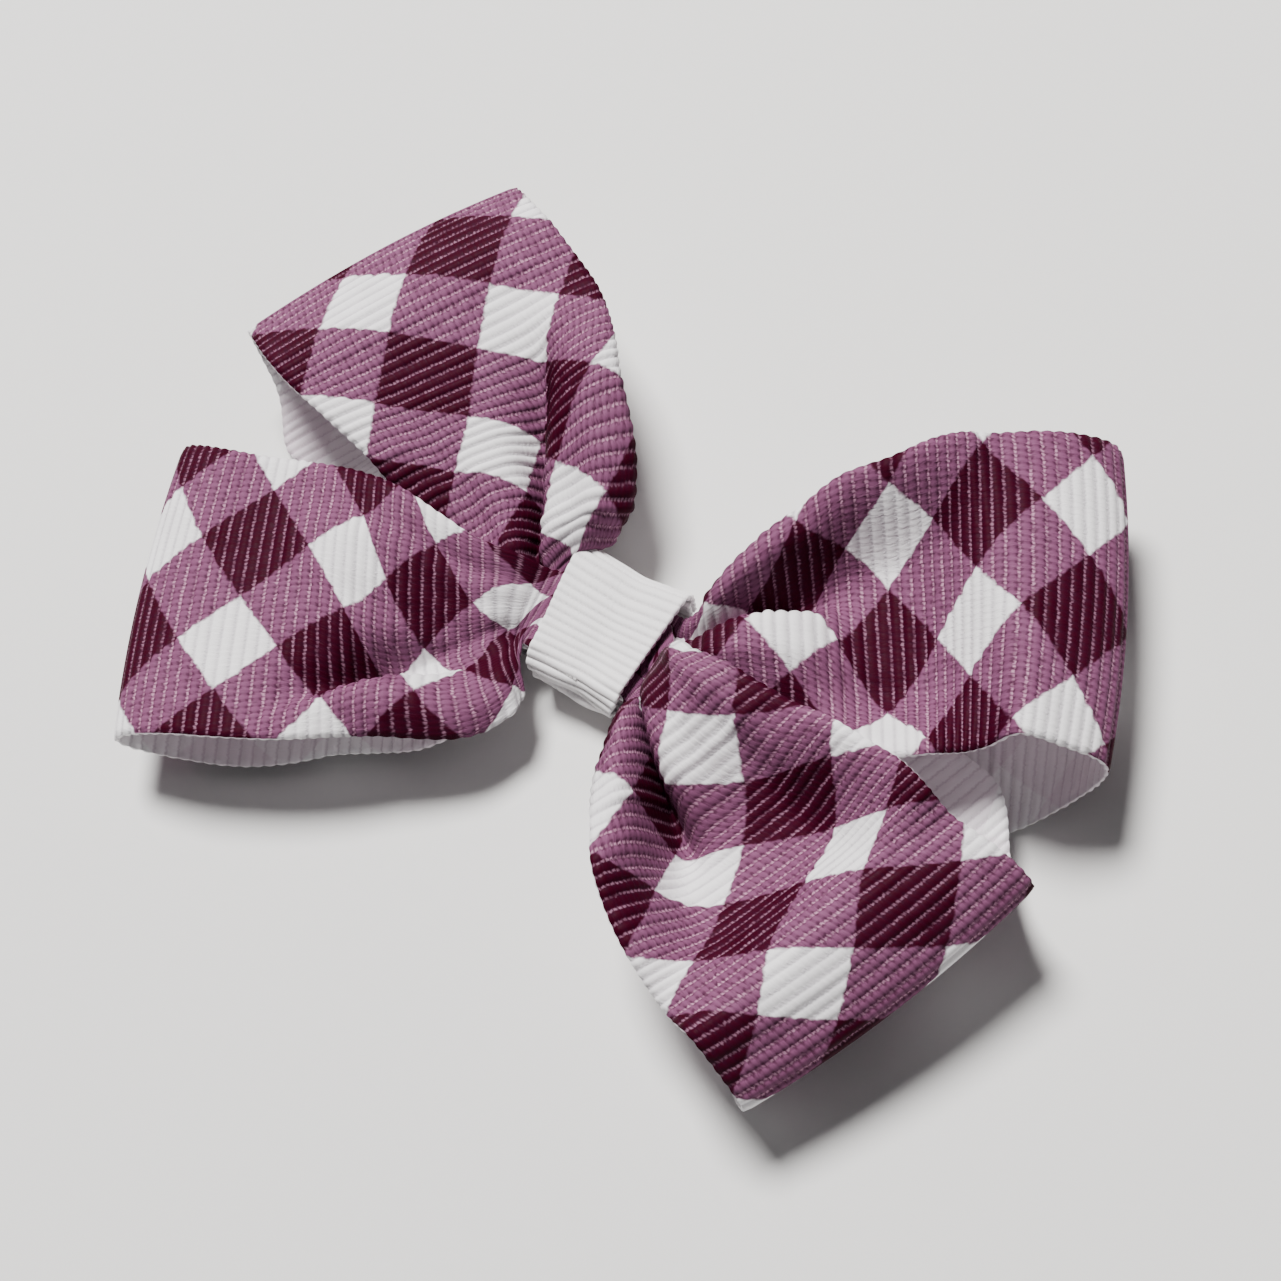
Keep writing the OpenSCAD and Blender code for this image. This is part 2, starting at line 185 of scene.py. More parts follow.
def spline(points, n):
    """Catmull-Rom curve through points."""
    p = np.asarray(points, float)
    q = np.vstack([2 * p[0] - p[1], p, 2 * p[-1] - p[-2]])
    t = np.linspace(0, 1, n, endpoint=False)[:, None]
    out = []
    for a, b, c, d in zip(q, q[1:], q[2:], q[3:]):
        out.append(0.5 * (2 * b + (c - a) * t + (2 * a - 5 * b + 4 * c - d) * t**2
                          + (3 * b - a - 3 * c + d) * t**3))
    return np.vstack(out + [p[-1:]])


def side_view(k, z_bot, z_top):
    """Loop seen from the side: (distance, height) from the lower layer round
    the tip to the upper layer."""
    length, crest, tip, belly = k["l"], k["crest"], k["tip"], k["belly"]
    sag = 0.4 if k["row"] > 0 else 0.2
    return [(0, z_bot), (5, z_bot), (0.31 * length, z_bot + sag * (belly - z_bot)),
            (0.52 * length, belly), (0.77 * length, belly),
            (0.925 * length, belly + 0.25 * (tip - belly)), (length, tip),
            (0.96 * length, tip + 0.6 * (crest - tip)),
            *zip(RISE_AT, k["rise"]), (5.2, z_top + 0.15), (0, z_top)]


def plan(l, angle):
    """Middle line in plan: straight, an arc, straight."""
    turn = math.radians(angle)
    s = np.maximum(0, l - LEAD)
    a = np.minimum(s / ARC_R, turn)
    rest = np.maximum(0, s - ARC_R * turn)
    x = np.minimum(l, LEAD) + ARC_R * np.sin(a) + rest * math.cos(turn)
    y = ARC_R * (1 - np.cos(a)) + rest * math.sin(turn)
    return x, y, a


def half_width(l):
    """Half the ribbon's spread in plan, from pinched to fully open."""
    t = np.clip((l - LEAD) / (OPEN_AT - LEAD), 0, 1) ** 0.8
    return GATHER_HALF + (HALF_W - GATHER_HALF) * smooth(0, 1, t)


def hump(v, at, wide, wide_out=None):
    """Bell of height 1 at a place; wide_out is its width past that place."""
    d = v - at
    return np.exp(-(d / np.where(d > 0, wide_out or wide, wide)) ** 2)


def edge(k, which, l):
    """How far an edge of the top layer lies from the middle line."""
    c = spline(list(zip(EDGE_AT + (k["l"],), k[which])), 16)
    return np.interp(l, c[:, 0], c[:, 1])


def folds(k, v, l):
    """Pinch folds of the top layer."""
    out = 0 * (v + l)
    for high, at, drift, wide, wide_out, start, full, fade, end in k["folds"]:
        out = out + (high * hump(v, at + drift * (l - 10) / 10, wide, wide_out)
                     * smooth(start, full, l) * (1 - smooth(fade, end, l)))
    return out


def clip_top(x):
    """Height of the clip below the ribbons, fading off its two ends."""
    edge = RIBBON_T / 2 + RIDE_GAP
    jaw = (LINING_TOP + edge) * smooth(JAW_X - 7, JAW_X - 1.2, x)
    tail = ARM_TOP + edge + np.maximum(0, x - BEND_X) * TAIL_RISE
    tail = tail * (1 - smooth(TAIL_X + 0.6, TAIL_X + 9, x))
    return np.where(x < BEND_X, jaw, tail)


def soft_max(a, b):
    """The greater of two values, with the corner between them rounded."""
    return (a + b + np.sqrt((a - b) ** 2 + 0.02)) / 2


def ripples(k, l, v):
    """Slight buckles that run out from the knot, and a slow waver."""
    seed = 1.7 * k["side"] + 0.9 * k["row"]
    near = smooth(5, 9, l) * (1 - smooth(14, 26, l))
    return (0.16 * near * np.sin(11 * v + 2.3 * seed)
            + 0.1 * near * np.sin(19 * v - 1.1 * seed + 0.12 * l)
            + 0.12 * smooth(10, 24, l) * np.sin(0.21 * l + 2.1 * v + seed))


def loop_surface(k, l, z1, z0, top, v):
    """Middle surface of a loop for stations l (with heights z1) and places v
    across it, -1 at the edge near the X axis and +1 at the outer edge. The
    places are spread evenly along the folded ribbon's own width."""
    l, z1, z0, top = (np.asarray(a, float)[:, None] for a in (l, z1, z0, top))
    q = np.linspace(-1, 1, 129)[None, :]
    side, row = k["side"], k["row"]
    lv = l - 0.8 * q * q * smooth(20, 38, l)
    cx, cy, a = plan(lv, k["angle"])
    head = a - math.radians(k["turn"]) * smooth(18, k["l"], l)
    shift, start, full, fade, end = k["under"]
    plain = (half_width(l) * q
             - shift * smooth(start, full, l) * (1 - smooth(fade, end, l))
             + k["bulge"] * smooth(LEAD, 15, l) * (1 - smooth(17, k["l"], l)))
    wide, narrow = edge(k, "outer", l), edge(k, "inner", l)
    t = top * (wide * (1 + q) - narrow * (1 - q)) / 2 + (1 - top) * plain
    high, at, drift, _, _, start, full, fade, end = k["folds"][0]
    push, off = k["tuck"]
    t = t + (top * push * hump(q, at + drift * (l - 10) / 10 + off, 0.13)
             * smooth(start, full, l) * (1 - smooth(fade - 2, end - 3, l)))
    x = cx - np.sin(head) * t
    y = cy + np.cos(head) * t + ROW_SHIFT
    hook = smooth(4.6, 6.6, l) * (1 - smooth(10, 18, l)) * smooth(0.2, 1, q)
    x = x - top * k["hook"] * hook
    z = z0 + (z1 - z0) * smooth(5.0, 9.5 if row > 0 else 7.5, cx)
    start, full = (7, 13) if row > 0 else (5.1, 7.5)
    lean = (top * k["lean_top"] * smooth(start, full, cx) * (1 - smooth(16, 28, l))
            + (1 - top) * k["lean_bot"] * smooth(9, 18, l) * (1 - smooth(26, 36, l))
            + k["lean_tip"] * smooth(18, 38, l))
    free = z + (0.05 + 0.95 * top) * folds(k, q, l) - lean * q
    free = free + ripples(k, l, q) * (0.3 + 0.7 * top)
    window = 1 - smooth(3.5, 8.5, np.abs(y))
    rest = (clip_top(x * side) + (0 if row > 0 else LAYER + 0.3)) * window
    half = int(np.argmax(l[:, 0]))
    far, high = l[half:, 0][::-1], z1[half:, 0][::-1]
    skew = k["slant"] * q * smooth(7, 15, l) * (1 - smooth(30, 36, l))
    rim = [np.interp(l, np.r_[0, RISE_AT[::-1], k["l"]],
                     np.r_[z0[-1, 0], k[which][::-1], k[which][0]])
           for which in ("inner_rim", "rim")]
    rim = np.where(q < 0, *rim) - np.interp(l, far, high)
    rim = rim * smooth(0.4, 1, np.abs(q)) * smooth(5, 9, l) * (1 - smooth(29, 33, l))
    slanted = np.interp(l - skew, far, high) - np.interp(l, far, high)
    free = free + top * (slanted + rim)
    under = np.interp(l, l[:half, 0], z1[:half, 0]) + 0.2
    over = np.maximum(rest, top * under) + 1.1 * top * smooth(5, 9, l)
    lifted = soft_max(np.where(l < LEAD, free, soft_max(free, over)), FLOOR_GAP)
    dense = np.stack([x * side + 0 * y, y * row, lifted], -1)
    arc = np.cumsum(np.linalg.norm(np.diff(dense, axis=1), axis=2), axis=1)
    arc = np.concatenate([0 * arc[:, :1], arc], axis=1)
    arc = 2 * arc / arc[:, -1:] - 1
    out = np.empty((len(l), len(v), 3))
    for i, row_arc in enumerate(arc):
        for c in range(3):
            out[i, :, c] = np.interp(v, row_arc, dense[i, :, c])
    return out


def loop_stations(k, z_bot, z_top, n=60):
    """Stations along a loop from its lower end to its upper end."""
    c = spline(side_view(k, z_bot, z_top), n)
    tip = int(np.argmax(c[:, 0]))
    i = np.arange(len(c))
    top = smooth(-1, 1, (i - tip) / (1.9 * n))
    z0 = np.where(i < tip, z_bot, z_top)
    return c[:, 0], c[:, 1], z0, top


# ---------------------------------------------------------------- meshes
def closed_sheet(name, front, back, uv_maps, materials):
    """Closed two-sided mesh from two grids of points in millimetres. uv_maps
    maps a name to one grid of two values. The front takes material 0, the
    back and the edges material 1."""
    n, m, _ = front.shape
    idx = np.arange(n * m).reshape(n, m)
    o = n * m
    rows = np.arange(n - 1)
    nxt = rows + 1
    a, b = idx[rows][:, :-1], idx[nxt][:, :-1]
    c, d = idx[nxt][:, 1:], idx[rows][:, 1:]
    top = np.stack([a, b, c, d], -1).reshape(-1, 4)
    faces = [top, top[:, ::-1] + o]
    for j, flip in ((0, False), (m - 1, True)):
        p, q = idx[rows, j], idx[nxt, j]
        wall = np.stack([p, p + o, q + o, q], -1)
        faces.append(wall[:, ::-1] if flip else wall)
    for i, flip in ((0, True), (n - 1, False)):
        p, q = idx[i, :-1], idx[i, 1:]
        wall = np.stack([p, p + o, q + o, q], -1)
        faces.append(wall[:, ::-1] if flip else wall)
    quads = np.vstack(faces)
    points = np.vstack([front.reshape(-1, 3), back.reshape(-1, 3)]) * MM

    mesh = bpy.data.meshes.new(name)
    mesh.vertices.add(len(points))
    mesh.vertices.foreach_set("co", points.ravel())
    mesh.loops.add(quads.size)
    mesh.loops.foreach_set("vertex_index", quads.ravel())
    mesh.polygons.add(len(quads))
    mesh.polygons.foreach_set("loop_start", np.arange(0, quads.size, 4))
    mesh.polygons.foreach_set("loop_total", np.full(len(quads), 4))
    mat = np.ones(len(quads), int)
    mat[:len(top)] = 0
    mesh.polygons.foreach_set("material_index", mat)
    mesh.polygons.foreach_set("use_smooth", np.ones(len(quads), bool))
    for material in materials:
        mesh.materials.append(material)
    for uv_name, grid in uv_maps.items():
        flat = np.vstack([grid.reshape(-1, 2)] * 2)[quads.ravel()]
        layer = mesh.uv_layers.new(name=uv_name)
        layer.data.foreach_set("uv", flat.ravel())
    mesh.update(calc_edges=True)
    mesh.validate()
    piece = bpy.data.objects.new(name, mesh)
    bpy.context.collection.objects.link(piece)
    return piece


def grid_normals(g):
    du = np.gradient(g, axis=0)
    dv = np.gradient(g, axis=1)
    n = np.cross(du, dv)
    return n / np.linalg.norm(n, axis=2, keepdims=True)


def rib_height(phase):
    """Cross-section of the weave's ribs: round tops and sharp grooves."""
    return np.abs(np.cos(math.pi * phase)) ** 0.7


def drawn(k, dist):
    """Distance of the print from the tip: the folds take up more ribbon than
    the loop's middle line shows."""
    near, beyond = k["draw"]
    return (np.minimum(dist, 0) + near * np.clip(dist, 0, 20)
            + beyond * np.maximum(0, dist - 20))


def ribbon(name, left, right, z_bot, z_top, materials):
    """A printed ribbon: from the middle round the left loop, over the knot
    and round the right loop back to the middle."""
    v = np.linspace(-1, 1, ACROSS)
    parts = []
    for k, backwards in ((left, False), (right, True)):
        l, z1, z0, top = loop_stations(k, z_bot, z_top)
        l = np.maximum(l, END_GAP * (np.arange(len(l)) == 0))
        mid = loop_surface(k, l, z1, z0, top, np.array([0.0]))[:, 0]
        arc = np.r_[0, np.cumsum(np.linalg.norm(np.diff(mid, axis=0), axis=1))]
        n = int(round(arc[-1] / RIB * RIB_POINTS))
        s = np.linspace(0, arc[-1], n + 1)
        at = [np.interp(s, arc, a) for a in (l, z1, z0, top)]
        grid = loop_surface(k, *at, v)
        from_tip = s - np.interp(np.argmax(l), np.arange(len(l)), arc)
        if backwards:
            grid, s, from_tip = grid[::-1], s[-1] - s[::-1], from_tip[::-1]
        parts.append((k, grid, s, from_tip))
    (ka, ga, sa, fa), (kb, gb, sb, fb) = parts
    grid = np.vstack([ga, gb[1:]])
    s = np.r_[sa, sa[-1] + sb[1:]]
    phase = s / RIB
    across = (v + 1) / 2 * RIBBON_W
    prints = []
    for k, dist in ((ka, fa), (kb, fb[1:])):
        w0, l0 = k["print_at"]
        slip = k["skew"] * (across - w0)[None, :]
        prints.append(np.stack(np.broadcast_arrays(
            (across[None, :] - w0) / LATTICE,
            (drawn(k, dist)[:, None] - drawn(k, l0) + slip) / LATTICE), -1))
    flat = np.vstack(prints)
    weave = np.stack(np.broadcast_arrays(across[None, :], phase[:, None]), -1)

    # woven edges bulge a little at each rib
    tangent = np.gradient(grid, axis=1)
    tangent /= np.linalg.norm(tangent, axis=2, keepdims=True)
    scallop = 0.03 * np.cos(2 * math.pi * phase)[:, None, None]
    edge = (np.abs(v) > 0.999) * np.sign(v)
    grid = grid + tangent * scallop * edge[None, :, None]

    sign = left["row"]
    normal = grid_normals(grid) * sign
    rng = np.random.default_rng(7 + sign)
    uneven = 1 + RIB_UNEVEN * rng.standard_normal(int(phase[-1]) + 3)
    rib = rib_height(phase) * uneven[np.round(phase).astype(int)]
    thin_edge = 1 - 0.35 * (np.abs(v) > 0.999)
    # the band presses the ribs flat where it holds the layers together
    from_knot = np.abs(grid[:, ACROSS // 2, 0])
    pressed = RIB_PRESSED + (1 - RIB_PRESSED) * smooth(4.4, 8.0, from_knot)
    lift = ((RIB_BASE + RIB_RISE * rib) * pressed)[:, None] * thin_edge[None, :]
    front = grid + normal * lift[:, :, None]
    back = grid - normal * lift[:, :, None]
    if sign < 0:
        front, back = front[:, ::-1], back[:, ::-1]
        flat, weave = flat[:, ::-1], weave[:, ::-1]
    return closed_sheet(name, front, back, {"flat": flat, "weave": weave}, materials)


def rounded_path(half_y, z_low, z_high, r, step):
    """Closed Y-Z path with round corners, from the far side down and round,
    sampled at about the given step."""
    pts = []
    for cy, cz, a0 in ((half_y - r, z_high - r, 0), (-half_y + r, z_high - r, 90),
                       (-half_y + r, z_low + r, 180), (half_y - r, z_low + r, 270)):
        for a in np.linspace(a0, a0 + 90, 9):
            pts.append((cy + r * math.cos(math.radians(a)),
                        cz + r * math.sin(math.radians(a))))
    pts = np.array(pts + pts[:1])
    arc = np.r_[0, np.cumsum(np.linalg.norm(np.diff(pts, axis=0), axis=1))]
    n = int(arc[-1] / step)
    s = np.linspace(0, arc[-1], n)
    return np.stack([np.interp(s, arc, pts[:, i]) for i in (0, 1)], -1), s


def wrap_band(materials):
    """The band: starts at the top of the far side, goes down and round the
    knot and laps over its start, where the glue holds it."""
    lo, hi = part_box("center_wrap")
    z_low, z_high = lo[2] / MM + WRAP_T / 2, hi[2] / MM - WRAP_T / 2
    half_y = -lo[1] / MM - WRAP_T / 2
    step = WRAP_RIB / 8
    path, s = rounded_path(half_y, z_low, z_high, WRAP_CORNER, step)
    path = path[::-1]
    total = s[-1]
    lap = z_high - WRAP_CORNER - z_low - WRAP_LAP_SHORT
    s_all = np.arange(0, total + lap, step)
    y = np.interp(s_all % total, s, path[:, 0])
    z = np.interp(s_all % total, s, path[:, 1])
    z_mid, half_z = (z_low + z_high) / 2, (z_high - z_low) / 2
    out = np.stack([y / half_y, (z - z_mid) / half_z], -1)
    out /= np.linalg.norm(out, axis=1, keepdims=True)
    y = y + WRAP_LAP_OUT * smooth(total - 4.5, total - 1.2, s_all)

    u = np.linspace(-1, 1, 41)
    top = smooth(z_low + 1, z_high - 0.2, z)          # 1 on the top face
    near = smooth(half_y * 0.35, half_y * 0.95, -y)   # 1 on the near face
    far = smooth(-half_y, half_y, y)
    left = 3.5 + 1.3 * far - 0.9 * near * (1 - top)
    right = 4.6 + 0.2 * far - 0.9 * near * (1 - top)
    x = ((right - left)[:, None] + (right + left)[:, None] * u[None, :]) / 2
    crown = 0.35 * (u**2 - 0.55) * top[:, None]       # edges ride on the folds
    dent = -0.18 * hump(u, 0.15, 0.3)[None, :] * top[:, None]
    wrinkle = (near * (1 - 0.55 * top))[:, None] * (
        0.13 * np.sin(2.1 * s_all[:, None] - 3.4 * u[None, :])
        + 0.1 * np.sin(4.3 * s_all[:, None] + 2.2 * u[None, :] + 1.0))
    off = crown + dent + wrinkle
    grid = np.stack([x, y[:, None] + out[:, :1] * off,
                     z[:, None] + out[:, 1:] * off], -1)
    phase = s_all / WRAP_RIB
    normal = grid_normals(grid)
    if np.mean(normal[len(normal) // 4, :, 2]) < 0:
        normal = -normal
    lift = (0.02 + 0.19 * rib_height(phase))[:, None, None]
    front, back = grid + normal * lift, grid - normal * lift
    weave = np.stack(np.broadcast_arrays((u[None, :] + 1) * WRAP_W / 2,
                                         phase[:, None]), -1)
    flip = np.dot(np.cross(front[5, 1] - front[4, 1], front[4, 2] - front[4, 1]),
                  normal[4, 1]) < 0
    if flip:
        front, back, weave = front[:, ::-1], back[:, ::-1], weave[:, ::-1]
    piece = closed_sheet("band", front, back, {"weave": weave}, materials)
    return piece, float(s_all[-1])


def lining_strip(materials):
    """The lining: along the top of the clip's upper arm, round the end of the
    jaw and back along its underside."""
    lo, hi = (np.array(p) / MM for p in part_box("clip_lining"))
    thick, r = LINING_T, LINING_BEND
    x0, x1 = lo[0] + thick / 2, hi[0]
    z0, z1 = lo[2] + thick / 2, hi[2] - thick / 2
    turn = np.radians(np.linspace(90, 180, 7))
    upper = [(x0 + r + r * math.cos(a), z1 - r + r * math.sin(a)) for a in turn]
    lower = [(x0 + r - r * math.sin(a), z0 + r + r * math.cos(a)) for a in turn]
    pts = np.array([(x1, z1)] + upper + lower + [(x1, z0)])
    arc = np.r_[0, np.cumsum(np.linalg.norm(np.diff(pts, axis=0), axis=1))]
    s = np.arange(0, arc[-1], LINING_RIB / 6)
    x, z = (np.interp(s, arc, pts[:, i])[:, None] for i in (0, 1))
    y = np.linspace(lo[1], hi[1], 25)[None, :]
    phase = s / LINING_RIB
    edge = (np.abs(y) > hi[1] - 0.01) * np.sign(y)
    fray = 0.04 * np.cos(2 * math.pi * phase)[:, None] * edge
    grid = np.stack(np.broadcast_arrays(x, y + fray, z), -1)
    normal = grid_normals(grid)
    normal *= np.sign(normal[2, y.shape[1] // 2, 2])    # outwards on the top
    lift = (thick / 2 - 0.05 + 0.06 * rib_height(phase))[:, None, None]
    front, back = grid + normal * lift, grid - normal * lift
    weave = np.stack(np.broadcast_arrays(y - lo[1], phase[:, None]), -1)
    front, back, weave = front[:, ::-1], back[:, ::-1], weave[:, ::-1]
    return closed_sheet("lining", front, back, {"weave": weave}, materials)


# ---------------------------------------------------------------- materials
class Nodes:
    """Short names for the shader nodes of one material."""

    def __init__(self, name):
        self.mat = bpy.data.materials.new(name)
        self.mat.use_nodes = True
        self.tree = self.mat.node_tree
        self.tree.nodes.clear()
        self.out = self.tree.nodes.new("ShaderNodeOutputMaterial")
        self.bsdf = self.tree.nodes.new("ShaderNodeBsdfPrincipled")
        self.link(self.bsdf.outputs[0], self.out.inputs[0])

    def link(self, a, b):
        self.tree.links.new(a, b)

    def put(self, value, socket):
        if isinstance(value, bpy.types.NodeSocket):
            self.link(value, socket)
        else:
            socket.default_value = value

    def math(self, op, a, b=0.0, c=0.0):
        n = self.tree.nodes.new("ShaderNodeMath")
        n.operation = op
        for value, socket in zip((a, b, c), n.inputs):
            self.put(value, socket)
        return n.outputs[0]

    def mix(self, fac, a, b):
        n = self.tree.nodes.new("ShaderNodeMix")
        n.data_type = "RGBA"
        self.put(fac, n.inputs[0])
        self.put(a, n.inputs[6])
        self.put(b, n.inputs[7])
        return n.outputs[2]

    def step(self, x, low, high, to_low=0.0, to_high=1.0):
        n = self.tree.nodes.new("ShaderNodeMapRange")
        n.interpolation_type = "SMOOTHSTEP"
        for value, socket in zip((x, low, high, to_low, to_high), n.inputs):
            self.put(value, socket)
        return n.outputs[0]

    def uv(self, name):
        n = self.tree.nodes.new("ShaderNodeUVMap")
        n.uv_map = name
        sep = self.tree.nodes.new("ShaderNodeSeparateXYZ")
        self.link(n.outputs[0], sep.inputs[0])
        return sep.outputs[0], sep.outputs[1]

    def xyz(self, x=0.0, y=0.0, z=0.0):
        n = self.tree.nodes.new("ShaderNodeCombineXYZ")
        for value, socket in zip((x, y, z), n.inputs):
            self.put(value, socket)
        return n.outputs[0]

    def position(self):
        return self.tree.nodes.new("ShaderNodeTexCoord").outputs["Object"]

    def noise(self, vector, scale=1.0, detail=2.0, rough=0.5):
        n = self.tree.nodes.new("ShaderNodeTexNoise")
        self.link(vector, n.inputs["Vector"])
        n.inputs["Scale"].default_value = scale
        n.inputs["Detail"].default_value = detail
        n.inputs["Roughness"].default_value = rough
        return n.outputs["Fac"]

    def bump(self, height, distance, strength=1.0):
        n = self.tree.nodes.new("ShaderNodeBump")
        n.inputs["Strength"].default_value = strength
        n.inputs["Distance"].default_value = distance
        self.put(height, n.inputs["Height"])
        self.link(n.outputs[0], self.bsdf.inputs["Normal"])

    def finish(self, color, roughness, metallic=0.0, sheen=0.0, specular=0.5):
        self.put(color, self.bsdf.inputs["Base Color"])
        self.put(roughness, self.bsdf.inputs["Roughness"])
        self.bsdf.inputs["Metallic"].default_value = metallic
        self.bsdf.inputs["Sheen Weight"].default_value = sheen
        self.bsdf.inputs["Specular IOR Level"].default_value = specular
        return self.mat


def rgb(r, g, b):
    """Linear colour from display values 0 to 255."""
    def lin(c):
        c /= 255
        return c / 12.92 if c < 0.04045 else ((c + 0.055) / 1.055) ** 2.4
    return (lin(r), lin(g), lin(b), 1.0)


WHITE = rgb(240, 237, 239)
MAUVE = rgb(119, 72, 102)
BURGUNDY = rgb(50, 0, 20)
GROOVE_PINK = rgb(186, 136, 162)
HEAVY_INK = rgb(30, 2, 14)
LIGHT_INK = rgb(170, 118, 150)
# painted shade on the rib sides, towards the grooves
RIB_SIDE_SHADE = rgb(52, 10, 36)
YARN_GAP = rgb(44, 6, 28)
# painted shade in the grooves of the white checks
WHITE_GROOVE_SHADE = rgb(158, 150, 160)
FADED = rgb(90, 40, 70)


def weave_parts(n):
    """Signals of a ribbed weave: places across and along it, groove mask, warp
    yarns, slow unevenness, and the place along it with wavy grooves."""
    w, ribs = n.uv("weave")
    warp = n.noise(n.xyz(n.math("MULTIPLY", w, 4.4), n.math("MULTIPLY", ribs, 0.9)),
                   scale=1.0, detail=3, rough=0.6)
    wavy = n.math("MULTIPLY_ADD", warp, 0.5, n.math("SUBTRACT", ribs, 0.25))
    groove = n.step(n.math("PINGPONG", wavy, 0.5), 0.33, 0.47)
    slow = n.noise(n.xyz(n.math("MULTIPLY", w, 0.35), n.math("MULTIPLY", ribs, 0.33)),
                   scale=1.0, detail=3)
    return w, ribs, groove, warp, slow, wavy


def ink_mask(n, jitter):
    """Diagonal check: how much of any ink, and of both stripes' ink."""
    across, along = n.uv("flat")
    masks = []
    for op in ("ADD", "SUBTRACT"):
        stripe = n.math("ADD", n.math(op, across, along), jitter)
        masks.append(n.step(n.math("PINGPONG", stripe, 0.5), *STRIPE_EDGE))
    return n.math("MAXIMUM", *masks), n.math("MULTIPLY", *masks)


def print_material():
    n = Nodes("printed_grosgrain")
    w, ribs, groove, warp, slow, wavy = weave_parts(n)
    ragged = n.noise(n.xyz(n.math("MULTIPLY", w, 1.6), n.math("MULTIPLY", ribs, 1.3)),
                     scale=1.0, detail=2)
    jitter = n.math("MULTIPLY", n.math("SUBTRACT", ragged, 0.5), 0.045)
    any_ink, both = ink_mask(n, jitter)
    ink = n.mix(both, MAUVE, BURGUNDY)
    # yarns that took more or less ink
    ink = n.mix(n.step(warp, 0.2, 0.5, 0.45, 0.0), ink, HEAVY_INK)
    ink = n.mix(n.math("MULTIPLY", n.step(warp, 0.5, 0.8, 0.0, 0.2),
                       n.math("SUBTRACT", 1.0, both)), ink, LIGHT_INK)
    # painted shade: the steep sides of each rib darken towards the grooves
    side = n.step(n.math("PINGPONG", ribs, 0.5), 0.24, 0.38, 0.0, 0.3)
    ink = n.mix(side, ink, RIB_SIDE_SHADE)
    # single yarns across the ribs
    drift = n.math("MULTIPLY_ADD", ribs, 0.37, warp)
    yarn = n.math("PINGPONG", n.math("MULTIPLY_ADD", w, 1.75, drift), 0.5)
    hatch = n.math("MULTIPLY", n.step(yarn, 0.08, 0.34, 1.0, 0.0),
                   n.step(n.math("PINGPONG", wavy, 0.5), 0.1, 0.26, 0.25, 0.6))
    ink = n.mix(hatch, ink, YARN_GAP)
    # bare yarn shows as light dashes down in the grooves
    lean = n.math("MULTIPLY_ADD", ribs, 0.9, n.math("MULTIPLY_ADD", w, 2.9, warp))
    dash = n.step(n.math("PINGPONG", lean, 0.5), 0.1, 0.3, 0.26, 1.0)
    stretched = n.xyz(n.math("MULTIPLY", w, 0.9), n.math("MULTIPLY", ribs, 0.9))
    patches = n.noise(stretched, scale=1.0, detail=3)
    patchy = n.step(patches, 0.3, 0.62, 0.18, 0.95)
    bare = n.math("MULTIPLY", groove, patchy)
    line = n.math("MULTIPLY", bare, dash)
    line = n.math("MULTIPLY", line, n.math("MULTIPLY_ADD", both, -0.5, 1.0))
    ink = n.mix(line, ink, GROOVE_PINK)
    # painted shade: the white checks darken towards each groove between the ribs
    shade = n.step(n.math("PINGPONG", ribs, 0.5), 0.2, 0.5, 0.0, 0.34)
    white = n.mix(n.math("MULTIPLY_ADD", bare, 0.15, shade), WHITE, WHITE_GROOVE_SHADE)
    color = n.mix(any_ink, white, ink)
    color = n.mix(n.step(slow, 0.3, 0.7, 0.0, 0.06), color, FADED)
    yarns = n.math("MULTIPLY_ADD", yarn, 0.5, warp)
    n.bump(n.math("MULTIPLY_ADD", line, 0.6, yarns), 0.00007, 0.8)
    rough = n.step(warp, 0.3, 0.7, 0.5, 0.66)
    return n.finish(color, rough, specular=0.04)


def back_material():
    n = Nodes("grosgrain_back")
    _, _, groove, warp, slow, _ = weave_parts(n)
    any_ink, both = ink_mask(n, 0.0)
    show = n.math("MULTIPLY_ADD", both, 0.14, n.math("MULTIPLY", any_ink, 0.2))
    # painted shade: the grooves between the ribs are greyed
    color = n.mix(n.math("MULTIPLY", groove, 0.45), WHITE, rgb(188, 176, 186))
    color = n.mix(show, color, rgb(176, 128, 160))
    color = n.mix(n.step(slow, 0.3, 0.7, 0.0, 0.12), color, rgb(206, 202, 208))
    n.bump(warp, 0.00006, 0.8)
    return n.finish(color, n.step(warp, 0.3, 0.7, 0.6, 0.74), sheen=0.2, specular=0.35)


def band_material():
    n = Nodes("white_grosgrain")
    _, _, groove, warp, slow, _ = weave_parts(n)
    # painted shade: the grooves between the ribs are greyed
    color = n.mix(n.math("MULTIPLY", groove, 0.5),
                  rgb(240, 237, 238), rgb(190, 186, 189))
    color = n.mix(n.step(slow, 0.35, 0.7, 0.0, 0.15), color, rgb(214, 210, 212))
    n.bump(warp, 0.00005, 0.8)
    return n.finish(color, n.step(warp, 0.3, 0.7, 0.55, 0.7), sheen=0.2, specular=0.4)


def plain_cloth():
    """White thread, by object position."""
    n = Nodes("white_weave")
    pos = n.position()
    fine = n.noise(pos, scale=5200, detail=3)
    slow = n.noise(pos, scale=420, detail=3)
    color = n.mix(n.step(fine, 0.35, 0.7), rgb(236, 234, 233), rgb(205, 202, 203))
    color = n.mix(n.step(slow, 0.4, 0.7, 0.0, 0.2), color, rgb(200, 196, 194))
    n.bump(fine, 0.00006, 0.9)
    return n.finish(color, n.step(fine, 0.3, 0.7, 0.6, 0.8), sheen=0.2, specular=0.35)


def glue_material():
    n = Nodes("hot_glue")
    pos = n.position()
    cloudy = n.noise(pos, scale=900, detail=3)
    color = n.mix(n.step(cloudy, 0.3, 0.7), rgb(236, 230, 210), rgb(214, 206, 182))
    n.bump(cloudy, 0.0001, 0.5)
    return n.finish(color, n.step(cloudy, 0.3, 0.7, 0.28, 0.42), specular=0.5)


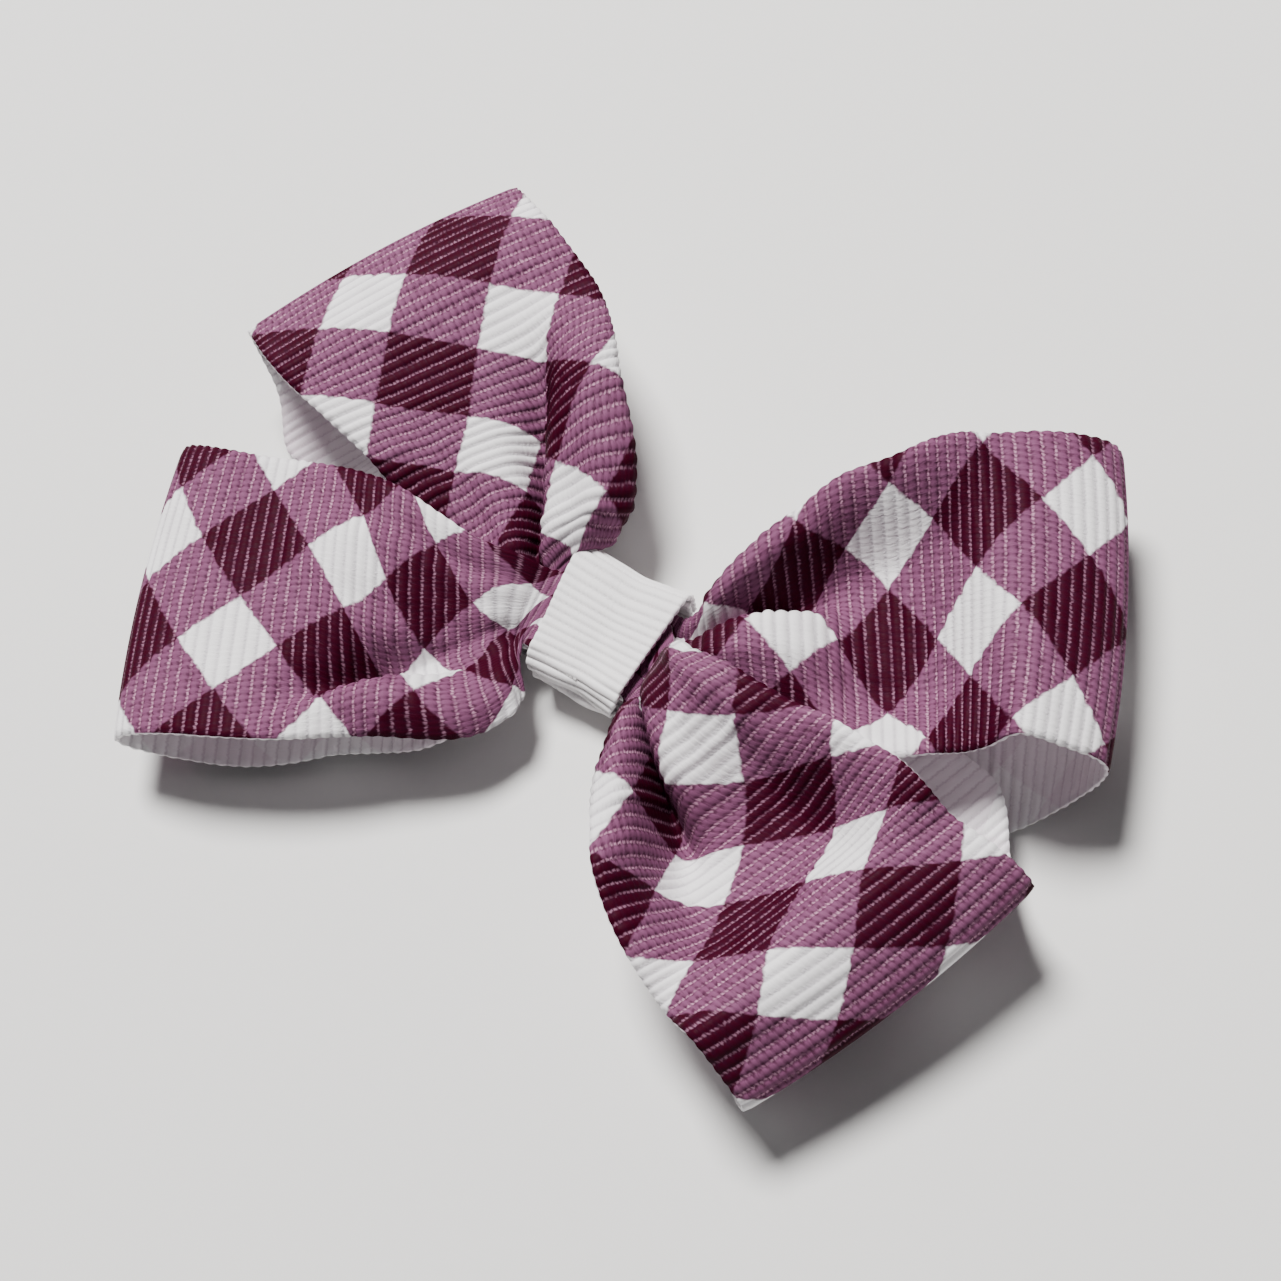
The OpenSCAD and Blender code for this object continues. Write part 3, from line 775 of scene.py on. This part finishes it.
def steel_material(name, base, dark, brushed=True):
    n = Nodes(name)
    pos = n.position()
    sep = n.tree.nodes.new("ShaderNodeSeparateXYZ")
    n.link(pos, sep.inputs[0])
    x, y, z = sep.outputs
    lines = n.noise(n.xyz(n.math("MULTIPLY", x, 260 if brushed else 1500),
                          n.math("MULTIPLY", y, 5200), n.math("MULTIPLY", z, 5200)),
                    scale=1.0, detail=4, rough=0.6)
    worn = n.noise(pos, scale=330, detail=4, rough=0.65)
    color = n.mix(n.step(worn, 0.45, 0.72), base, dark)
    rough = n.math("MULTIPLY_ADD", lines, 0.2, n.step(worn, 0.4, 0.75, 0.14, 0.26))
    n.bump(lines, 0.00002, 0.5)
    return n.finish(color, rough, metallic=1.0)


def floor_material():
    n = Nodes("table")
    pos = n.position()
    slow = n.noise(pos, scale=6, detail=3)
    fine = n.noise(pos, scale=900, detail=2)
    color = n.mix(n.step(slow, 0.3, 0.7), rgb(231, 230, 228), rgb(227, 226, 225))
    n.bump(fine, 0.00002, 0.3)
    return n.finish(color, n.step(fine, 0.3, 0.7, 0.62, 0.7), specular=0.25)


# ---------------------------------------------------------------- pieces
printed, backing = print_material(), back_material()
z_levels = {"upper": (KNOT_Z, KNOT_Z + 2 * LAYER),
            "lower": (KNOT_Z + LAYER, KNOT_Z + 3 * LAYER)}
for bow, node in (("upper", "upper_ribbon"), ("lower", "lower_ribbon")):
    piece = ribbon(bow + "_printed_ribbon", LOOPS[bow + "_left"],
                   LOOPS[bow + "_right"], *z_levels[bow], (printed, backing))
    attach(piece, "bow")
    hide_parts(node)

band_cloth = band_material()
band, band_length = wrap_band((band_cloth, band_cloth))
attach(band, "bow")
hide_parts("center_wrap")

lining = lining_strip((band_cloth, band_cloth))
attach(lining, "bow")
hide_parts("clip_lining")

nickel = steel_material("nickel_plate", rgb(205, 206, 208), rgb(192, 192, 194))
rivet = steel_material("rivet_steel", rgb(190, 191, 193), rgb(160, 160, 162))
wire = steel_material("spring_wire", rgb(198, 199, 201), rgb(150, 150, 153), False)
cloth, glue = plain_cloth(), glue_material()
finishes = {"gathering_thread": cloth, "wrap_glue": glue, "clip_glue_pad": glue,
            "clip_upper_arm": nickel, "clip_lower_arm": nickel,
            "pivot_pin": rivet, "clip_spring": wire}
for node, material in finishes.items():
    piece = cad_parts[node]
    if not piece.data.materials:
        piece.data.materials.append(material)
    for i in range(len(piece.data.materials)):
        piece.data.materials[i] = material
        piece.material_slots[i].material = material

# ---------------------------------------------------------------- stage
TABLE_SIZE, TABLE_Z = 4, -0.00002      # metres; the top is just under the bow
bpy.ops.mesh.primitive_plane_add(size=TABLE_SIZE, location=(0, 0, TABLE_Z))
floor = bpy.context.object
floor.name = "table_top"
floor.data.materials.append(floor_material())

AIM = Vector((3.38, 0.53, 5.0)) * MM
AZIMUTH, ELEVATION, ROLL = (math.radians(a) for a in (48.77, 63.6, -18.12))
DISTANCE = 0.17406
SENSOR, LENS = 36, 65.26
back = Vector((math.sin(AZIMUTH) * math.cos(ELEVATION),
               -math.cos(AZIMUTH) * math.cos(ELEVATION), math.sin(ELEVATION)))
right = Vector((math.cos(AZIMUTH), math.sin(AZIMUTH), 0))
up = back.cross(right)
right, up = (math.cos(ROLL) * right + math.sin(ROLL) * up,
             -math.sin(ROLL) * right + math.cos(ROLL) * up)
camera = bpy.data.objects.new("camera", bpy.data.cameras.new("camera"))
bpy.context.collection.objects.link(camera)
turn = Matrix((right, up, back)).transposed().to_4x4()
camera.matrix_world = Matrix.Translation(AIM + back * DISTANCE) @ turn
camera.data.sensor_width = SENSOR
camera.data.lens = LENS
camera.data.clip_start = 0.005
bpy.context.scene.camera = camera


def area_light(name, direction, distance, size, power, color):
    """Round lamp that far out in a direction, facing the origin."""
    data = bpy.data.lights.new(name, "AREA")
    data.shape, data.size = "DISK", size
    data.energy, data.color = power, color
    lamp = bpy.data.objects.new(name, data)
    bpy.context.collection.objects.link(lamp)
    aim = Vector(direction).normalized()
    lamp.location = aim * distance
    lamp.rotation_euler = aim.to_track_quat("Z", "Y").to_euler()


area_light("window", (-0.409, 0.287, 1.0), 1.0, 0.34, 24.5, (1.0, 0.985, 0.97))
area_light("fill", (0.9, -0.5, 0.8), 1.2, 0.9, 0.9, (0.96, 0.98, 1.0))
world = bpy.data.worlds.new("room")
bpy.context.scene.world = world
world.use_nodes = True
sky = world.node_tree.nodes["Background"]
sky.inputs["Color"].default_value = (0.97, 0.97, 1.0, 1)
sky.inputs["Strength"].default_value = 0.09
